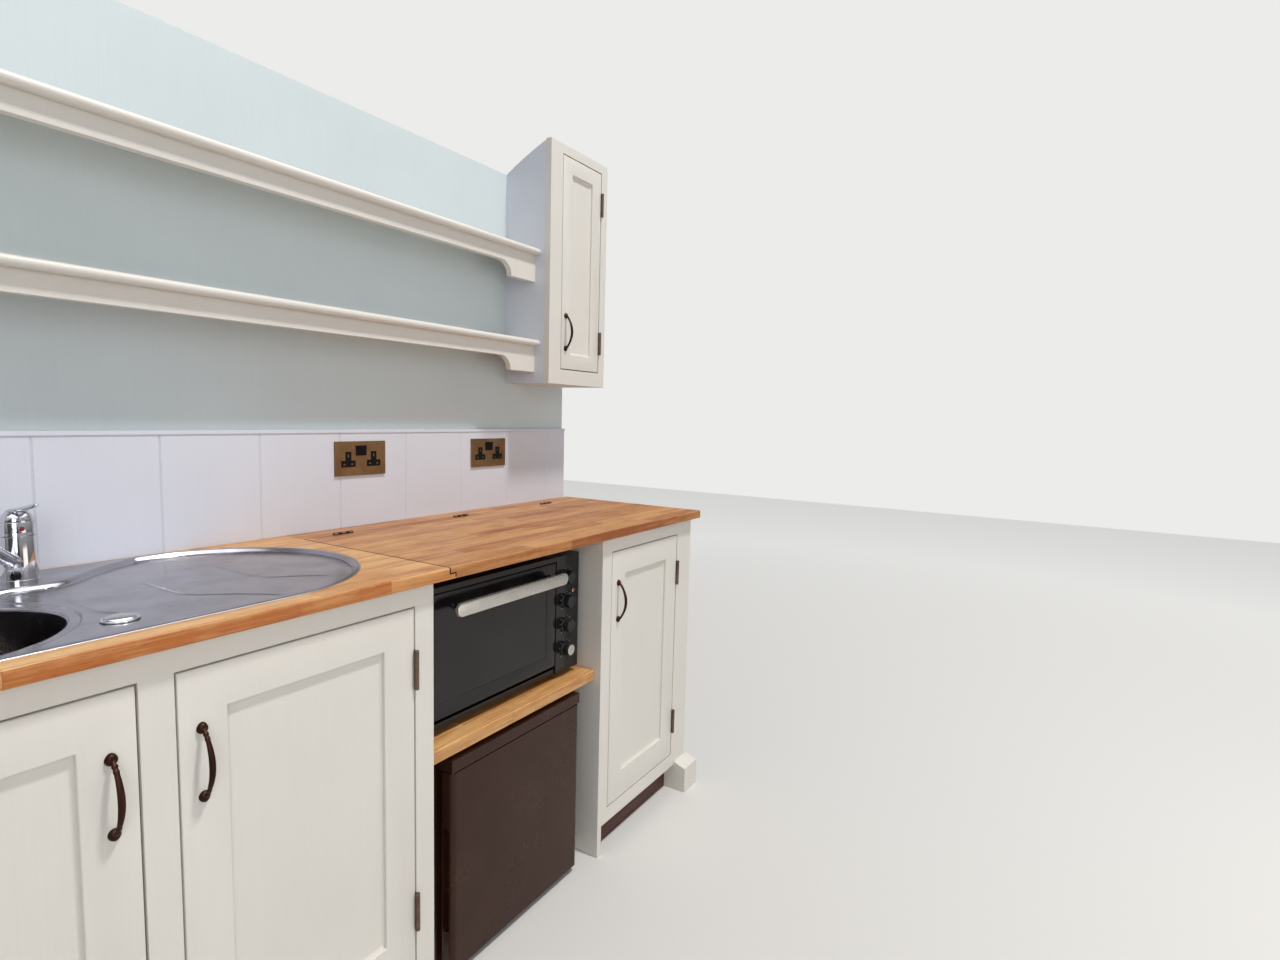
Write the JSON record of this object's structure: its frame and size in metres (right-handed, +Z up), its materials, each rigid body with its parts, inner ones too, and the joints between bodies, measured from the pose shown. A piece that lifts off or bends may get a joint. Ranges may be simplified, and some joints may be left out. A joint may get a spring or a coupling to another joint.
{
  "type": "shepherd's hut kitchen wall",
  "caption": "Fitted kitchen along the side wall of a shepherd's hut: sink cupboard, oven and fridge bay under a lift-up worktop flap, narrow cupboard, shelves and wall cupboard.",
  "frame": {"origin": "on the floor, in the middle of the length and of the depth", "axes": "+X along the wall towards the narrow cupboard, +Y into the wall, +Z up"},
  "size_m": [2.0526, 0.628, 2.018],
  "materials": {
    "cabinet_paint": "satin painted off-white",
    "board_paint": "satin painted white tongue and groove",
    "wall_paint": "matt painted pale sage lining",
    "softwood": "sawn softwood",
    "worktop_wood": "oiled hardwood staves",
    "plinth_wood": "dark brown",
    "bronze": "dark bronze",
    "socket_bronze": "antique bronze",
    "socket_black": "black",
    "sink_steel": "brushed",
    "tap_chrome": "polished",
    "waste_metal": "polished",
    "oven_black": "gloss black",
    "oven_glass": "smoked",
    "bar_metal": "satin",
    "knob_black": "black",
    "hotplate_iron": "black",
    "fridge_black": "gloss black"
  },
  "bodies": {
    "kitchen_wall": {"wall_lining": "wall_paint", "wall_studs": "softwood", "splashback": "board_paint", "sockets": "socket_bronze", "socket_inserts": "socket_black", "shelf_upper": "cabinet_paint", "shelf_lower": "cabinet_paint", "fascia_upper": "cabinet_paint", "fascia_lower": "cabinet_paint", "wall_cupboard_sides": "board_paint", "wall_cupboard_bottom": "cabinet_paint", "wall_cupboard_top": "board_paint", "wall_cupboard_frame": "cabinet_paint", "left_end_panel": "cabinet_paint", "bay_side_panel": "cabinet_paint", "divider": "cabinet_paint", "right_end_panel": "cabinet_paint", "cupboard_floors": "cabinet_paint", "rear_rail": "softwood", "face_frame_left": "cabinet_paint", "face_frame_right": "cabinet_paint", "plinth": "plinth_wood", "skirting_block": "cabinet_paint", "bay_shelf": "worktop_wood", "worktop_left": "worktop_wood", "worktop_strip": "worktop_wood", "fixed_hinges": "bronze", "sink": "sink_steel", "bowl_flange": "sink_steel", "sink_bowl": "sink_steel", "drainer_ribs": "sink_steel", "sink_waste": "waste_metal", "sink_stopper": "waste_metal", "tap_base": "tap_chrome", "oven_body": "oven_black", "hotplates": "hotplate_iron", "fridge_body": "fridge_black"},
    "sink_door_left": {"sink_door_left": "cabinet_paint", "sink_door_left_fittings": "bronze"},
    "sink_door_right": {"sink_door_right": "cabinet_paint", "sink_door_right_fittings": "bronze"},
    "narrow_door": {"narrow_door": "cabinet_paint", "narrow_door_fittings": "bronze"},
    "wall_cupboard_door": {"wall_cupboard_door": "cabinet_paint", "wall_cupboard_door_fittings": "bronze"},
    "worktop_flap": {"worktop_flap": "worktop_wood", "flap_hinges_moving": "bronze"},
    "oven_door": {"oven_door": "oven_black", "oven_door_glass": "oven_glass", "oven_handle": "bar_metal"},
    "oven_knob_1": {"oven_knob_1": "knob_black"},
    "oven_knob_2": {"oven_knob_2": "knob_black"},
    "oven_knob_3": {"oven_knob_3": "knob_black"},
    "oven_knob_4": {"oven_knob_4": "knob_black"},
    "fridge_door": {"fridge_door": "fridge_black"},
    "tap_spout": {"tap_spout": "tap_chrome"},
    "tap_cap": {"tap_cap": "tap_chrome"},
    "tap_lever": {"tap_lever": "tap_chrome"}
  },
  "joints": [
    {"name": "sink_door_left_hinge", "type": "hinge", "parent": "kitchen_wall", "child": "sink_door_left", "pos_m": [-0.96125, -0.277, 0.477], "axis": [0, 0, -1], "range_deg": [0, 90]},
    {"name": "sink_door_right_hinge", "type": "hinge", "parent": "kitchen_wall", "child": "sink_door_right", "pos_m": [-0.10175, -0.277, 0.477], "axis": [0, 0, 1], "range_deg": [0, 90]},
    {"name": "narrow_door_hinge", "type": "hinge", "parent": "kitchen_wall", "child": "narrow_door", "pos_m": [0.91775, -0.277, 0.477], "axis": [0, 0, 1], "range_deg": [0, 90]},
    {"name": "wall_cupboard_door_hinge", "type": "hinge", "parent": "kitchen_wall", "child": "wall_cupboard_door", "pos_m": [0.97275, 0.075, 1.663], "axis": [0, 0, 1], "range_deg": [0, 90]},
    {"name": "worktop_flap_hinge", "type": "hinge", "parent": "kitchen_wall", "child": "worktop_flap", "pos_m": [0.44025, 0.171, 0.905], "axis": [-1, 0, 0], "range_deg": [0, 66]},
    {"name": "oven_door_hinge", "type": "hinge", "parent": "kitchen_wall", "child": "oven_door", "pos_m": [0.18425, -0.201, 0.568], "axis": [1, 0, 0], "range_deg": [0, 90]},
    {"name": "oven_knob_1_turn", "type": "hinge", "parent": "kitchen_wall", "child": "oven_knob_1", "pos_m": [0.43325, -0.212, 0.7865], "axis": [0, 1, 0], "range_deg": [0, 270]},
    {"name": "oven_knob_2_turn", "type": "hinge", "parent": "kitchen_wall", "child": "oven_knob_2", "pos_m": [0.43325, -0.212, 0.7235], "axis": [0, 1, 0], "range_deg": [0, 270]},
    {"name": "oven_knob_3_turn", "type": "hinge", "parent": "kitchen_wall", "child": "oven_knob_3", "pos_m": [0.43325, -0.212, 0.6605], "axis": [0, 1, 0], "range_deg": [0, 270]},
    {"name": "oven_knob_4_turn", "type": "hinge", "parent": "kitchen_wall", "child": "oven_knob_4", "pos_m": [0.43325, -0.212, 0.5975], "axis": [0, 1, 0], "range_deg": [0, 270]},
    {"name": "fridge_door_hinge", "type": "hinge", "parent": "kitchen_wall", "child": "fridge_door", "pos_m": [0.42525, -0.229, 0.237], "axis": [0, 0, 1], "range_deg": [0, 90]},
    {"name": "tap_spout_swivel", "type": "hinge", "parent": "kitchen_wall", "child": "tap_spout", "pos_m": [-0.53875, 0.162, 0.932], "axis": [0, 0, 1], "range_deg": [-40, 110]},
    {"name": "tap_cap_swivel", "type": "hinge", "parent": "kitchen_wall", "child": "tap_cap", "pos_m": [-0.53875, 0.162, 0.9833], "axis": [0, 0, 1], "range_deg": [-45, 45]},
    {"name": "tap_lever_tilt", "type": "hinge", "parent": "tap_cap", "child": "tap_lever", "pos_m": [-0.53875, 0.162, 1.0063], "axis": [-1, 0, 0], "range_deg": [0, 20]}
  ]
}
